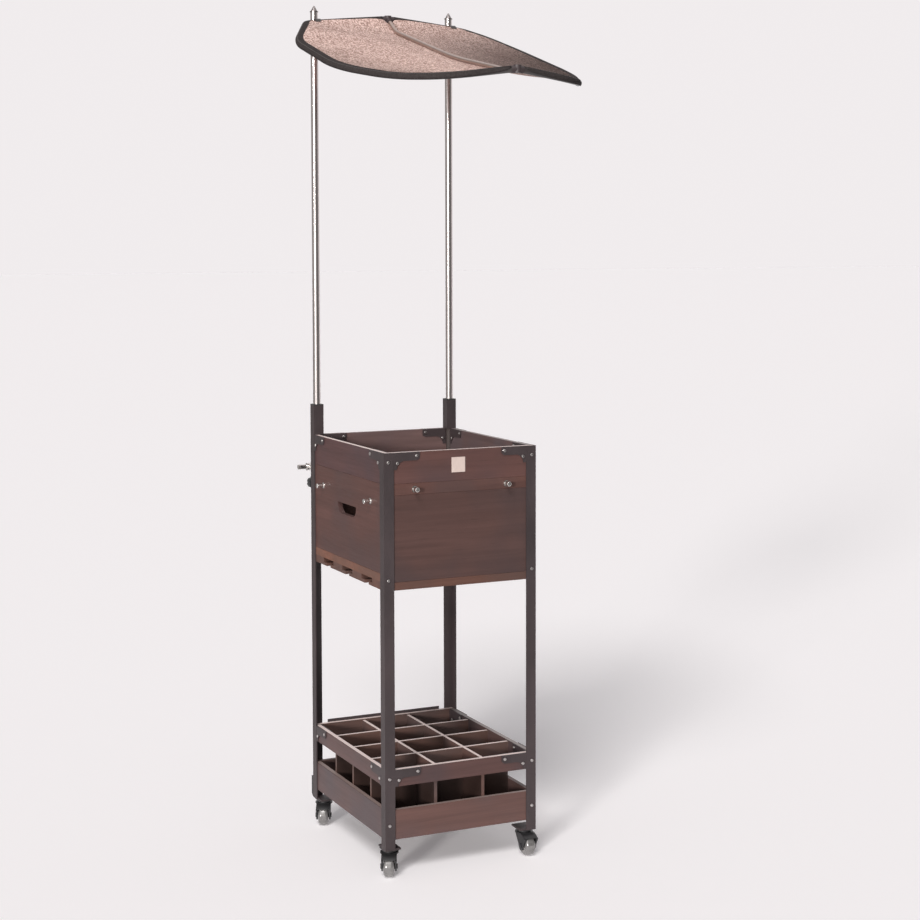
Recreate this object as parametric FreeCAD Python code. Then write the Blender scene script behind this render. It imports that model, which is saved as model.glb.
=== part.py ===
import FreeCAD, Part
import math
import os

from FreeCAD import Vector

# Bar cart: an open wooden box over a bottle rack, in four angle-iron posts on
# swivel casters, with two poles at the back that carry a tilting canopy.
# Millimetres. Front is -Y, up is +Z, the floor is z = 0.

# Frame
cart_width = 398.0            # over the corner posts
cart_depth = 486.0
rim_height = 1007.0           # top of the posts and of the box
post_foot_height = 62.0       # lower end of the posts
angle_leg = 25.4
angle_wall = 3.0
shelf_thickness = 4.0         # plate in the foot of each post that takes a caster
shelf_length_x = 38.0
shelf_length_y = 48.0

# Boards
board_thickness = 12.0
edge_break = 0.8              # small chamfer on every board edge
upper_plank_height = 74.0
peg_rail_height = 27.0
box_floor_thickness = 19.0
box_floor_top = 720.0
box_underside = 682.0         # underside of the stemware rails and the rear panel

# Hand-holds in the side panels
handhold_half_length = 60.0
handhold_height = 27.0
handhold_rise = 17.0          # its middle above the middle of the panel
handhold_corner_radius = 24.0

# Stemware rails
slot_pitch = 127.0
slot_width = 24.0
rail_flange_thickness = 8.0
rail_flange_overhang = 22.0   # flange beyond the web, under the foot of a glass

# Bottle rack
rack_rail_top = 255.0
rack_rail_height = 41.0
tray_bottom = 87.0
tray_height = 72.0
tray_floor_lift = 5.0         # tray floor above the lower edge of the tray boards
tray_floor_thickness = 10.0
divider_thickness = 8.0
divider_drop = 3.0            # divider tops below the rack rail tops
columns = 3
rows = 4
halving_clearance = 0.2
strap_half_length = 158.0
strap_thickness = 3.0
strap_height = 34.0
strap_rise = 7.0              # strap above the rear rack rail

# Corner plates
plate_reach = 92.0            # arm end from the outer corner of the cart
plate_thickness = 2.5
plate_arm_height = 20.0
plate_root_height = 40.0
plate_root_width = 8.0
plate_end_radius = 10.0
plate_inner_gap = 3.0         # inner plates stand off the inner corner

# Bolts
bolt_head_radius = 3.8
bolt_head_height = 2.5
bolt_head_round = 1.4
bolt_shank_radius = 2.5
bolt_hole_clearance = 0.1
screw_length = 14.0
far_bolt_from_corner = 84.0
far_bolt_drop = 9.0
near_bolt_from_corner = 35.0
near_bolt_drop = 25.0
post_screw_from_side = 11.0
box_screw_drop = 22.0         # below the rim
box_screw_rise = 25.0         # above the underside of the box

# Blank label plate on the front
label_width = 35.0
label_height = 36.0
label_thickness = 1.2
label_center_x = -6.5
label_top_drop = 18.0         # below the rim

# Hanging pegs
peg_length = 20.0
peg_flange_radius = 7.5
peg_flange_thickness = 2.0
peg_neck_radius = 4.0
peg_head_radius = 6.0
peg_head_length = 11.0
peg_head_round = 1.8
front_peg_half_spacing = 120.0
front_peg_drop = 88.0         # below the rim
side_peg_half_spacing = 156.0
side_peg_drop = 122.0

# Push handle
handle_radius = 6.5
handle_half_length = 217.0
handle_drop = 89.0            # below the rim
handle_standoff = 45.0        # bar axis behind the posts
standoff_radius = 7.0
handle_eye_radius = 10.0
handle_eye_length = 16.0

# Rear bumpers
bumper_depth = 11.0
bumper_height = 53.0
bumper_lift = 1.0             # above the foot of the post
bumper_chamfer = 7.0

# Poles, sockets and clamp knobs
pole_radius = 9.5
pole_wall = 1.5
pole_above_tilt = 29.3        # pole end over the tilt axis
pole_pocket_clearance = 0.5   # round the pole, inside the angle
pole_foot_gap = 0.2
socket_size = 26.0
socket_wall = 2.5
socket_height = 78.0          # over the rim, with the bush flange
bush_flange_thickness = 2.5
bush_plug_length = 16.0
bush_clearance = 0.1
running_clearance = 0.05
finial_height = 16.0
finial_collar_height = 3.0
finial_overhang = 1.0
finial_neck_radius = 8.5
finial_tip_radius = 1.5
finial_plug_length = 14.0
knob_drop = 127.0             # below the rim
knob_radius = 15.5
knob_length = 18.0
knob_lobes = 6
knob_flute_radius = 4.0
knob_screw_radius = 4.0
knob_gap = 0.4
boss_radius = 8.0
boss_length = 6.0

# Canopy clamps and tilt axis
tilt_height = 2045.7
tilt_standoff = 23.0          # tilt axis in front of the pole axis
collar_radius = 13.5
collar_height = 26.0
collar_drop = 5.0             # middle of the collar below the tilt axis
ring_radius = 11.5
ring_length = 14.0
clamp_web_height = 16.0
trunnion_radius = 8.8
trunnion_length = 20.0

# Canopy hoop, half of it: corners as (half width, reach in front of the tilt
# axis, drop below it), drawn for one reach of the tip and stretched with it;
# each bend takes a share of the shorter run beside its corner
hoop_radius = 7.0
hoop_wall = 1.2
rear_run_sweep = 0.0762       # rear run goes back per unit of width
rear_run_fall = 0.0912        # and down per unit of width
rear_corner_half_width = 215.0
hoop_corners = [
    (249.8, 69.0, 28.0),
    (298.4, 160.1, 68.7),
    (303.3, 432.7, 149.8),
    (233.3, 599.7, 182.6),
    (159.8, 724.6, 189.6),
]
hoop_bend_shares = [0.218, 0.43, 0.43, 0.43, 0.43, 0.43]
hoop_tip_reach = 747.2
hoop_drawn_reach = 747.2      # tip reach for which the corners are given
hoop_tip_drop = 168.8
joint_radius = 8.8
joint_socket_radius = 8.3
joint_socket_length = 15.0
hoop_seat = 8.0               # tube ends stop this far from the joint centre
rib_seat = 10.0

# Centre rib: corners as (reach, drop), given and bent as the hoop's
rib_radius = 5.0
rib_wall = 1.0
rib_socket_radius = 6.2
rib_corners = [
    (68.0, 21.0),
    (420.0, 116.0),
    (690.0, 166.0),
]
rib_bend_shares = [0.242, 0.22, 0.293]

# Canopy fabric
fabric_thickness = 1.6
fabric_rib_gap = 0.5
fabric_hoop_gap = 0.9
fabric_edge_step = 0.1        # the edge draws back by this until it clears the hoop
fabric_stations = 61
fabric_end_stations = 2       # stations left free at each end joint
fabric_notch_clearance = 1.5

# Casters
wheel_radius = 25.0
wheel_width = 26.0
wheel_edge_round = 8.0
hub_radius = 15.0
hub_width = 28.0
axle_radius = 3.5
axle_head_radius = 6.0
axle_head_length = 2.5
fork_side_gap = 1.5           # cheek to tyre
fork_cheek_thickness = 3.5
fork_foot_radius = 12.0
hood_thickness = 2.5          # cover over the outer half of the wheel
hood_lip_height = 45.0
crown_radius = 22.0
crown_thickness = 3.0
crown_wheel_gap = 1.5
caster_plate_size = 36.0
caster_plate_thickness = 2.5
swivel_race_radius = 17.0
swivel_gap = 0.3
kingpin_radius = 4.0
kingpin_head_radius = 6.5
kingpin_head_height = 2.2
kingpin_inset = 20.0          # from the cart side
kingpin_inset_y = 25.0        # from the cart front or back
trail = 20.0
trail_angles = {              # degrees from +X, as the casters stand
    "front_left": 245.0,
    "front_right": 268.0,
    "rear_left": 245.0,
    "rear_right": 252.0,
}

# Faces and axes that follow from the sizes above
half_width = cart_width / 2
half_depth = cart_depth / 2
face_x = half_width - angle_wall
face_y = half_depth - angle_wall
inner_x = face_x - board_thickness
inner_y = face_y - board_thickness
pole_pocket = 2 * (pole_radius + pole_pocket_clearance)
pole_x = face_x - pole_pocket / 2
pole_y = face_y - pole_pocket / 2
rear_board_end = face_x - pole_pocket
side_board_end = face_y - max(pole_pocket, board_thickness)
plank_bottom = rim_height - upper_plank_height
peg_rail_bottom = plank_bottom - peg_rail_height
handhold_middle = (box_floor_top + plank_bottom) / 2 + handhold_rise
handhold_top = handhold_middle + handhold_height / 2
handhold_bottom = handhold_middle - handhold_height / 2
handle_height = rim_height - handle_drop
knob_height = rim_height - knob_drop
pole_top = tilt_height + pole_above_tilt
box_floor_bottom = box_floor_top - box_floor_thickness
socket_top = rim_height + socket_height
rack_rail_bottom = rack_rail_top - rack_rail_height
tray_top = tray_bottom + tray_height
tray_floor_bottom = tray_bottom + tray_floor_lift
tray_floor_top = tray_floor_bottom + tray_floor_thickness
divider_top = rack_rail_top - divider_drop
tilt_y = pole_y - tilt_standoff
handle_y = half_depth + handle_standoff
bolt_hole_radius = bolt_shank_radius + bolt_hole_clearance

up = Vector(0, 0, 1)
sides = {"left": -1, "right": 1}
corners = {
    "front_left": (-1, -1),
    "front_right": (1, -1),
    "rear_left": (-1, 1),
    "rear_right": (1, 1),
}

nodes = {}


def block(x_span, y_span, z_span):
    """Box between two limits on each axis, in either order."""
    low = Vector(min(x_span), min(y_span), min(z_span))
    high = Vector(max(x_span), max(y_span), max(z_span))
    size = high - low
    return Part.makeBox(size.x, size.y, size.z, low)


def board(x_span, y_span, z_span):
    """Board with every edge broken."""
    blank = block(x_span, y_span, z_span)
    return blank.makeChamfer(edge_break, blank.Edges)


def rod(radius, start, end):
    """Cylinder from one point to another."""
    run = end - start
    return Part.makeCylinder(radius, run.Length, start, run)


def rounded_rod(radius, start, end, edge_round):
    """Cylinder with its far rim rounded."""
    plain = rod(radius, start, end)
    far_rim = [e for e in plain.Edges
               if len(e.Vertexes) == 1 and (e.Vertexes[0].Point - end).Length < radius * 1.01]
    return plain.makeFillet(edge_round, far_rim)


def fuse(shapes):
    """One solid from touching or overlapping shapes."""
    whole = shapes[0].fuse(shapes[1:])
    return whole.removeSplitter()


def group(shapes):
    return Part.makeCompound(shapes)


def revolve(profile):
    """Solid of revolution about Z from points (radius, height)."""
    points = [Vector(r, 0, z) for r, z in profile]
    face = Part.Face(Part.makePolygon(points + points[:1]))
    return face.revolve(Vector(0, 0, 0), up, 360)


def placed(shape, position):
    copy = shape.copy()
    copy.translate(position)
    return copy


def mirrored(shape):
    """The same shape on the other side of the cart."""
    return shape.mirror(Vector(0, 0, 0), Vector(1, 0, 0))


# Bolts and screws, with the holes that they need
bolts = []
bolt_holes = []


def add_bolt(head_point, direction, grip):
    """Through bolt: a dome head, a shank and a dome nut on the far side."""
    far_point = head_point + direction * grip
    head_top = head_point - direction * bolt_head_height
    head = rounded_rod(bolt_head_radius, head_point, head_top, bolt_head_round)
    nut = rounded_rod(bolt_head_radius, far_point, far_point + direction * bolt_head_height, bolt_head_round)
    bolts.append(fuse([head, rod(bolt_shank_radius, head_point, far_point), nut]))
    bolt_holes.append(rod(bolt_hole_radius, head_point, far_point))


def add_screw(head_point, direction, length):
    """Screw: a dome head and a shank in a blind hole."""
    head_top = head_point - direction * bolt_head_height
    head = rounded_rod(bolt_head_radius, head_point, head_top, bolt_head_round)
    tip = head_point + direction * length
    bolts.append(fuse([head, rod(bolt_shank_radius, head_point, tip)]))
    bolt_holes.append(rod(bolt_hole_radius, head_point, tip + direction * bolt_hole_clearance))


# Corner posts
def post(name):
    """Angle iron with its caster shelf; at the back also the pole socket and the knob boss."""
    side, end = corners[name]
    leg_x = block((side * half_width, side * (half_width - angle_leg)),
                  (end * half_depth, end * face_y), (post_foot_height, rim_height))
    leg_y = block((side * half_width, side * face_x),
                  (end * half_depth, end * (half_depth - angle_leg)), (post_foot_height, rim_height))
    shelf = block((side * face_x, side * (face_x - shelf_length_x)),
                  (end * face_y, end * (face_y - shelf_length_y)),
                  (post_foot_height, post_foot_height + shelf_thickness))
    pieces = [leg_x, leg_y, shelf]
    if end < 0:
        return fuse(pieces)
    tube_top = socket_top - bush_flange_thickness
    outside = block((side * half_width, side * (half_width - socket_size)),
                    (half_depth, half_depth - socket_size), (rim_height, tube_top))
    inside = block((side * (half_width - socket_wall), side * (half_width - socket_size + socket_wall)),
                   (half_depth - socket_wall, half_depth - socket_size + socket_wall), (rim_height, tube_top))
    boss = rod(boss_radius, Vector(side * pole_x, face_y, knob_height),
               Vector(side * pole_x, half_depth + boss_length, knob_height))
    screw_hole = rod(knob_screw_radius + running_clearance, Vector(side * pole_x, pole_y, knob_height),
                     Vector(side * pole_x, half_depth + boss_length, knob_height))
    return fuse(pieces + [outside.cut(inside), boss]).cut(screw_hole)


def socket_bush(side):
    """Square plug with a flange, bored for the pole."""
    center = Vector(side * pole_x, pole_y, 0)
    flange = block((side * half_width, side * (half_width - socket_size)),
                   (half_depth, half_depth - socket_size), (socket_top - bush_flange_thickness, socket_top))
    wall = socket_wall + bush_clearance
    plug = block((side * (half_width - wall), side * (half_width - socket_size + wall)),
                 (half_depth - wall, half_depth - socket_size + wall),
                 (socket_top - bush_flange_thickness - bush_plug_length, socket_top - bush_flange_thickness))
    bore = rod(pole_radius + running_clearance, center, center + up * (socket_top + bush_plug_length))
    return fuse([flange, plug]).cut(bore)


for name in corners:
    nodes["post_" + name] = post(name)
nodes["socket_bushes"] = group([socket_bush(side) for side in sides.values()])


# Wooden box
def handhold(side):
    """D-shaped cutter through a side panel, flat at the top."""
    x = side * (inner_x - board_thickness)
    radius = handhold_corner_radius
    low_center = handhold_half_length - radius
    bulge = radius * math.sqrt(0.5)
    corner = [Vector(x, end * (low_center + bulge), handhold_bottom + radius - bulge) for end in (-1, 1)]
    top = [Vector(x, end * handhold_half_length, handhold_top) for end in (-1, 1)]
    shoulder = [Vector(x, end * handhold_half_length, handhold_bottom + radius) for end in (-1, 1)]
    base = [Vector(x, end * low_center, handhold_bottom) for end in (-1, 1)]
    outline = Part.Wire([
        Part.LineSegment(top[0], top[1]).toShape(),
        Part.LineSegment(top[1], shoulder[1]).toShape(),
        Part.Arc(shoulder[1], corner[1], base[1]).toShape(),
        Part.LineSegment(base[1], base[0]).toShape(),
        Part.Arc(base[0], corner[0], shoulder[0]).toShape(),
        Part.LineSegment(shoulder[0], top[0]).toShape(),
    ])
    return Part.Face(outline).extrude(Vector(side * 3 * board_thickness, 0, 0))


front_span = (-face_y, -inner_y)
rear_span = (inner_y, face_y)
full_width = (-face_x, face_x)
rear_width = (-rear_board_end, rear_board_end)
side_length = (-inner_y, side_board_end)
plank_span = (plank_bottom, rim_height)

nodes["plank_front"] = board(full_width, front_span, plank_span)
nodes["plank_rear"] = board(rear_width, rear_span, plank_span)
nodes["peg_rail_front"] = board(full_width, front_span, (peg_rail_bottom, plank_bottom))
nodes["panel_front"] = board(full_width, front_span, (box_floor_bottom, peg_rail_bottom))
nodes["panel_rear"] = board(rear_width, rear_span, (box_underside, plank_bottom))
for name, side in sides.items():
    side_span = (side * inner_x, side * face_x)
    nodes["plank_" + name] = board(side_span, side_length, plank_span)
    panel = board(side_span, side_length, (box_floor_top, plank_bottom))
    nodes["panel_" + name] = panel.cut(handhold(side))

# The box floor carries the pole feet on a tab in each rear corner.
floor_span = (box_floor_bottom, box_floor_top)
floor_pieces = [block(full_width, (-inner_y, min(inner_y, side_board_end)), floor_span)]
for side in sides.values():
    floor_pieces.append(block((side * face_x, side * rear_board_end), (-inner_y, face_y), floor_span))
nodes["box_floor"] = fuse(floor_pieces)


# Stemware rails
def stemware_rail(y_low, y_high, front_edge, rear_edge):
    """T rail along X; a side that faces a slot overhangs its web."""
    flange_top = box_underside + rail_flange_thickness
    web_low = y_low + (0 if front_edge else rail_flange_overhang)
    web_high = y_high - (0 if rear_edge else rail_flange_overhang)
    flange = block(full_width, (y_low, y_high), (box_underside, flange_top))
    web = block(full_width, (web_low, web_high), (flange_top, box_floor_bottom))
    return fuse([flange, web])


slot_centers = [-slot_pitch, 0.0, slot_pitch]
rail_starts = [-face_y] + [y + slot_width / 2 for y in slot_centers]
rail_ends = [y - slot_width / 2 for y in slot_centers] + [min(inner_y, side_board_end)]
rails = []
for index, (start, end) in enumerate(zip(rail_starts, rail_ends)):
    rails.append(stemware_rail(start, end, index == 0, index == len(rail_starts) - 1))
nodes["stemware_rails"] = group(rails)

# Bottle rack
rack_side_length = (-inner_y, inner_y)
frames = {"rack_rail": (rack_rail_bottom, rack_rail_top), "tray": (tray_bottom, tray_top)}
for frame, height in frames.items():
    nodes[frame + "_front"] = board(full_width, front_span, height)
    nodes[frame + "_rear"] = board(full_width, rear_span, height)
    for name, side in sides.items():
        nodes[frame + "_" + name] = board((side * inner_x, side * face_x), rack_side_length, height)
nodes["tray_floor"] = block((-inner_x, inner_x), (-inner_y, inner_y), (tray_floor_bottom, tray_floor_top))
strap_top = rack_rail_top + strap_rise
nodes["rack_strap"] = block((-strap_half_length, strap_half_length), (face_y, face_y + strap_thickness),
                            (strap_top - strap_height, strap_top))

# Dividers, halved into each other
cell_width = (2 * inner_x - (columns - 1) * divider_thickness) / columns
cell_depth = (2 * inner_y - (rows - 1) * divider_thickness) / rows
long_centers = [-inner_x + (i + 1) * (cell_width + divider_thickness) - divider_thickness / 2
                for i in range(columns - 1)]
cross_centers = [-inner_y + (i + 1) * (cell_depth + divider_thickness) - divider_thickness / 2
                 for i in range(rows - 1)]
half_divider = divider_thickness / 2
half_slot = half_divider + halving_clearance / 2
halving_height = (tray_floor_top + divider_top) / 2


def long_divider(x):
    """Divider along Y with slots from the top."""
    plain = block((x - half_divider, x + half_divider), (-inner_y, inner_y), (tray_floor_top, divider_top))
    slots = [block((x - divider_thickness, x + divider_thickness), (y - half_slot, y + half_slot),
                   (halving_height - halving_clearance / 2, divider_top)) for y in cross_centers]
    return plain.cut(slots)


def cross_divider(y):
    """Divider along X with slots from below."""
    plain = block((-inner_x, inner_x), (y - half_divider, y + half_divider), (tray_floor_top, divider_top))
    slots = [block((x - half_slot, x + half_slot), (y - divider_thickness, y + divider_thickness),
                   (tray_floor_top, halving_height + halving_clearance / 2)) for x in long_centers]
    return plain.cut(slots)


for name, x in zip(("left", "right"), long_centers):
    nodes["divider_long_" + name] = long_divider(x)
for name, y in zip(("front", "middle", "rear"), cross_centers):
    nodes["divider_cross_" + name] = cross_divider(y)


# Corner plates and their bolts
def corner_plate(start, along, normal, extra):
    """L plate with a round arm end and a concave throat, hanging from its start, longer by extra there."""
    arm_length = plate_reach - angle_leg + extra
    root_width = plate_root_width + extra
    throat = plate_root_height - plate_arm_height
    throat_end = root_width + throat
    half_turn = math.sqrt(0.5)

    def point(distance, drop):
        return start + along * distance - up * drop

    end_middle = point(arm_length - plate_end_radius * (1 - half_turn),
                       plate_arm_height - plate_end_radius * (1 - half_turn))
    throat_middle = point(throat_end - throat * half_turn, plate_root_height - throat * half_turn)
    outline = Part.Wire([
        Part.LineSegment(point(0, 0), point(arm_length, 0)).toShape(),
        Part.LineSegment(point(arm_length, 0),
                         point(arm_length, plate_arm_height - plate_end_radius)).toShape(),
        Part.Arc(point(arm_length, plate_arm_height - plate_end_radius), end_middle,
                 point(arm_length - plate_end_radius, plate_arm_height)).toShape(),
        Part.LineSegment(point(arm_length - plate_end_radius, plate_arm_height),
                         point(throat_end, plate_arm_height)).toShape(),
        Part.Arc(point(throat_end, plate_arm_height), throat_middle,
                 point(root_width, plate_root_height)).toShape(),
        Part.LineSegment(point(root_width, plate_root_height), point(0, plate_root_height)).toShape(),
        Part.LineSegment(point(0, plate_root_height), point(0, 0)).toShape(),
    ])
    return Part.Face(outline).extrude(normal * plate_thickness)


plates = []
bolt_spots = [(far_bolt_from_corner, far_bolt_drop), (near_bolt_from_corner, near_bolt_drop)]


def wall_plates(top, across, along, face, half_span, inner_start):
    """Plates and bolts at one end of a wall: across is its outward normal, along leads off the corner."""
    inner_root = inner_start - plate_inner_gap
    outer_root = half_span - angle_leg
    inside = across * (face - board_thickness) - along * inner_root + up * top
    plates.append(corner_plate(inside, along, across * -1, inner_root - outer_root))
    outside = across * face - along * outer_root + up * top
    plates.append(corner_plate(outside, along, across, 0))
    surface = face + plate_thickness
    far_side = face - board_thickness - plate_thickness
    for distance, drop in bolt_spots:
        head = across * surface - along * (half_span - distance) + up * (top - drop)
        add_bolt(head, across * -1, surface - far_side)


for top in (rim_height, rack_rail_top):
    for side, end in corners.values():
        across_y = Vector(0, end, 0)
        across_x = Vector(side, 0, 0)
        strapped = top == rack_rail_top and end > 0
        beside_pole = top == rim_height and end > 0
        start_x = min(inner_x, rear_board_end) if beside_pole else inner_x
        start_y = min(inner_y, side_board_end) if beside_pole else inner_y
        if not strapped:
            wall_plates(top, across_y, Vector(-side, 0, 0), face_y, half_width, start_x)
        wall_plates(top, across_x, Vector(0, -end, 0), face_x, half_depth, start_y)

# Screws through the post flanges and the strap
screw_heights = [(rack_rail_top + rack_rail_bottom) / 2, (tray_top + tray_bottom) / 2]
box_screw_heights = [rim_height - box_screw_drop, box_underside + box_screw_rise]
for side, end in corners.values():
    heights = screw_heights + box_screw_heights if end < 0 else screw_heights
    for height in heights:
        head = Vector(side * (half_width - post_screw_from_side), end * half_depth, height)
        add_screw(head, Vector(0, -end, 0), screw_length)
for side in sides.values():
    strap_screw = Vector(side * (half_width - far_bolt_from_corner), face_y + strap_thickness,
                         rack_rail_top - far_bolt_drop)
    add_screw(strap_screw, Vector(0, -1, 0), screw_length)

nodes["corner_plates"] = group([plate.cut(bolt_holes) for plate in plates])
drilled = [name for name in nodes if name.split("_")[0] in ("post", "plank", "panel", "rack", "tray")]
for name in drilled:
    nodes[name] = nodes[name].cut(bolt_holes)
nodes["frame_bolts"] = group(bolts)

# Label plate
label_top = rim_height - label_top_drop
nodes["label_plate"] = block((label_center_x - label_width / 2, label_center_x + label_width / 2),
                             (-face_y, -face_y - label_thickness), (label_top - label_height, label_top))


# Hanging pegs
def peg(base, outward):
    """Turned peg with a wall flange, a neck and a round-edged head."""
    head_start = base + outward * (peg_length - peg_head_length)
    tip = base + outward * peg_length
    return fuse([
        rod(peg_flange_radius, base, base + outward * peg_flange_thickness),
        rod(peg_neck_radius, base, head_start),
        rounded_rod(peg_head_radius, head_start, tip, peg_head_round),
    ])


pegs = []
for side in sides.values():
    front_base = Vector(side * front_peg_half_spacing, -face_y, rim_height - front_peg_drop)
    pegs.append(peg(front_base, Vector(0, -1, 0)))
    for end in (-1, 1):
        side_base = Vector(side * face_x, end * side_peg_half_spacing, rim_height - side_peg_drop)
        pegs.append(peg(side_base, Vector(side, 0, 0)))
nodes["hook_pegs"] = group(pegs)

# Push handle
nodes["handle_bar"] = rod(handle_radius, Vector(-handle_half_length, handle_y, handle_height),
                          Vector(handle_half_length, handle_y, handle_height))
standoffs = []
for side in sides.values():
    eye_center = Vector(side * pole_x, handle_y, handle_height)
    half_eye = Vector(handle_eye_length / 2, 0, 0)
    stem = rod(standoff_radius, Vector(side * pole_x, half_depth, handle_height), eye_center)
    eye = rod(handle_eye_radius, eye_center - half_eye, eye_center + half_eye)
    bar_hole = rod(handle_radius + running_clearance, eye_center - half_eye * 2, eye_center + half_eye * 2)
    standoffs.append(fuse([stem, eye]).cut(bar_hole))
nodes["handle_standoffs"] = group(standoffs)

# Rear bumpers
bumpers = []
for side in sides.values():
    foot = post_foot_height + bumper_lift
    pad = block((side * half_width, side * (half_width - angle_leg)),
                (half_depth, half_depth + bumper_depth), (foot, foot + bumper_height))
    low_edge = [e for e in pad.Edges if e.CenterOfMass.z < foot + edge_break
                and e.CenterOfMass.y > half_depth + bumper_depth - edge_break]
    bumpers.append(pad.makeChamfer(bumper_chamfer, low_edge))
nodes["bumpers"] = group(bumpers)

# Casters
axle_height = wheel_radius
crown_bottom = 2 * wheel_radius + crown_wheel_gap
crown_top = crown_bottom + crown_thickness
cheek_inner = wheel_width / 2 + fork_side_gap
cheek_outer = cheek_inner + fork_cheek_thickness
hood_inner_radius = wheel_radius + crown_wheel_gap
hood_radius = hood_inner_radius + hood_thickness


def caster_plate(x, y):
    """Fixed half of a caster: top plate, swivel race and kingpin with its head."""
    def at(height):
        return Vector(x, y, height)

    half = caster_plate_size / 2
    plate_bottom = post_foot_height - caster_plate_thickness
    return fuse([
        block((x - half, x + half), (y - half, y + half), (plate_bottom, post_foot_height)),
        rod(swivel_race_radius, at(crown_top + swivel_gap), at(plate_bottom)),
        rod(kingpin_radius, at(crown_bottom - swivel_gap), at(plate_bottom)),
        rod(kingpin_head_radius, at(crown_bottom - swivel_gap - kingpin_head_height),
            at(crown_bottom - swivel_gap)),
    ])


def wheel_hood():
    """Cover over the outer half of the wheel, open below its lip."""
    def at(y):
        return Vector(trail, y, axle_height)

    drum = rod(hood_radius, at(-cheek_outer), at(cheek_outer))
    well = rod(hood_inner_radius, at(-cheek_inner), at(cheek_inner))
    outer_half = block((trail, trail + hood_radius), (-cheek_outer, cheek_outer),
                       (hood_lip_height, crown_top))
    return drum.cut(well).common(outer_half)


def caster_fork():
    """Swivel fork at the origin with its trail along +X, and its axle as a second solid."""
    crown = rod(crown_radius, Vector(0, 0, crown_bottom), Vector(0, 0, crown_top))
    pieces = [crown, wheel_hood()]
    for side in (-1, 1):
        span = (side * cheek_inner, side * cheek_outer)
        cheek_front = trail - fork_foot_radius
        cheek_back = trail + fork_foot_radius
        crown_front = -math.sqrt(crown_radius ** 2 - cheek_outer ** 2)
        profile = [
            Vector(crown_front, span[0], crown_top),
            Vector(trail, span[0], crown_top),
            Vector(trail + wheel_radius, span[0], hood_lip_height),
            Vector(cheek_back, span[0], axle_height),
            Vector(cheek_front, span[0], axle_height),
            Vector(crown_front, span[0], crown_bottom),
        ]
        outline = Part.makePolygon(profile + profile[:1])
        pieces.append(Part.Face(outline).extrude(Vector(0, span[1] - span[0], 0)))
        pieces.append(rod(fork_foot_radius, Vector(trail, span[0], axle_height),
                          Vector(trail, span[1], axle_height)))
    pieces.append(block((0, trail), (-cheek_outer, cheek_outer), (crown_bottom, crown_top)))
    hole = rod(kingpin_radius + running_clearance, Vector(0, 0, crown_bottom), Vector(0, 0, crown_top))
    axle_hole = rod(axle_radius + running_clearance, Vector(trail, -cheek_outer, axle_height),
                    Vector(trail, cheek_outer, axle_height))
    fork = fuse(pieces).cut([hole, axle_hole])
    head_face = cheek_outer
    axle = fuse([
        rod(axle_radius, Vector(trail, -head_face, axle_height), Vector(trail, head_face, axle_height)),
        rod(axle_head_radius, Vector(trail, -head_face - axle_head_length, axle_height),
            Vector(trail, -head_face, axle_height)),
        rod(axle_head_radius, Vector(trail, head_face, axle_height),
            Vector(trail, head_face + axle_head_length, axle_height)),
    ])
    return group([fork, axle])


def caster_wheel():
    """Tyre and hub on the axle of the fork above."""
    def at(y):
        return Vector(trail, y, axle_height)

    half = wheel_width / 2
    blank = rod(wheel_radius, at(-half), at(half))
    rims = [e for e in blank.Edges if len(e.Vertexes) == 1]
    tyre = blank.makeFillet(wheel_edge_round, rims)
    tyre = tyre.cut(rod(hub_radius + running_clearance, at(-half), at(half)))
    hub = rod(hub_radius, at(-hub_width / 2), at(hub_width / 2))
    hub = hub.cut(rod(axle_radius + running_clearance, at(-hub_width), at(hub_width)))
    return group([tyre, hub])


fixed_plates = []
for name, (side, end) in corners.items():
    kingpin = Vector(side * (half_width - kingpin_inset), end * (half_depth - kingpin_inset_y), 0)
    fixed_plates.append(caster_plate(kingpin.x, kingpin.y))
    for node, shape in (("caster_fork_", caster_fork()), ("caster_wheel_", caster_wheel())):
        shape.rotate(Vector(0, 0, 0), up, trail_angles[name])
        shape.translate(kingpin)
        nodes[node + name] = shape
nodes["caster_plates"] = group(fixed_plates)

# Poles and finials
pole_foot = box_floor_top + pole_foot_gap
finial_stub = pole_radius - pole_wall - bush_clearance
finial_profile = [
    (0, -finial_plug_length),
    (finial_stub, -finial_plug_length),
    (finial_stub, 0),
    (pole_radius + finial_overhang, 0),
    (pole_radius + finial_overhang, finial_collar_height),
    (finial_neck_radius, finial_collar_height),
    (finial_tip_radius, finial_height),
    (0, finial_height),
]
finials = []
for name, side in sides.items():
    axis = Vector(side * pole_x, pole_y, 0)
    outside = rod(pole_radius, axis + up * pole_foot, axis + up * pole_top)
    inside = rod(pole_radius - pole_wall, axis + up * pole_foot, axis + up * pole_top)
    nodes["pole_" + name] = outside.cut(inside)
    finials.append(placed(revolve(finial_profile), axis + up * pole_top))
nodes["pole_finials"] = group(finials)


# Clamp knobs
def clamp_knob(side):
    """Fluted knob with a screw that reaches through the post to the pole."""
    def at(y):
        return Vector(side * pole_x, y, knob_height)

    seat = half_depth + boss_length + knob_gap
    grip = rounded_rod(knob_radius, at(seat), at(seat + knob_length), edge_break)
    flutes = []
    for lobe in range(knob_lobes):
        angle = 2 * math.pi * lobe / knob_lobes
        offset = Vector(math.cos(angle), 0, math.sin(angle)) * (knob_radius + knob_flute_radius / 2)
        flutes.append(rod(knob_flute_radius, at(seat) + offset, at(seat + knob_length) + offset))
    screw = rod(knob_screw_radius, at(pole_y + pole_radius + knob_gap), at(seat + knob_length / 2))
    return fuse([grip.cut(flutes), screw])


for name, side in sides.items():
    nodes["clamp_knob_" + name] = clamp_knob(side)


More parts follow.
